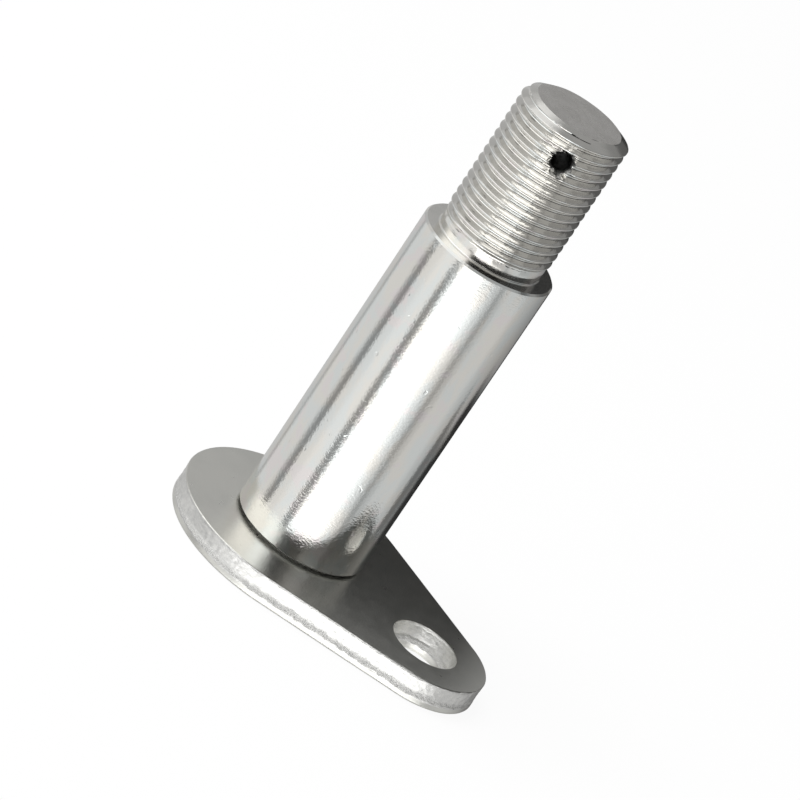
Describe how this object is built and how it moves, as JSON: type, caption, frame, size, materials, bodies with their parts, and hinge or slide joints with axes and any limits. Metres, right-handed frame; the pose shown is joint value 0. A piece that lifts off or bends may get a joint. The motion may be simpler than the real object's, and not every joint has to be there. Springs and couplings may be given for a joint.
{
  "type": "tie rod pin",
  "caption": "Stepped steel pin with a ground shank and a cross-drilled threaded stud, welded upright into a pear-shaped lock plate with a bolt hole.",
  "frame": {"origin": "on the pin's axis, in the plane of the lock plate's underside", "axes": "+Z along the pin from the plate towards the stud's end, +X from the pin's axis towards the bolt hole"},
  "size_m": [0.0573, 0.04, 0.0845],
  "materials": {
    "ground_steel": "ground and turned steel under bright zinc plating, mirror-like on the shank",
    "plate_steel": "rolled steel under bright zinc plating, satin on the faces, torn and granular on the wall",
    "weld_metal": "rippled weld bead under bright zinc plating"
  },
  "bodies": {
    "root": {"pin": "ground_steel", "lock_plate": "plate_steel", "weld_bead": "weld_metal"}
  },
  "joints": []
}
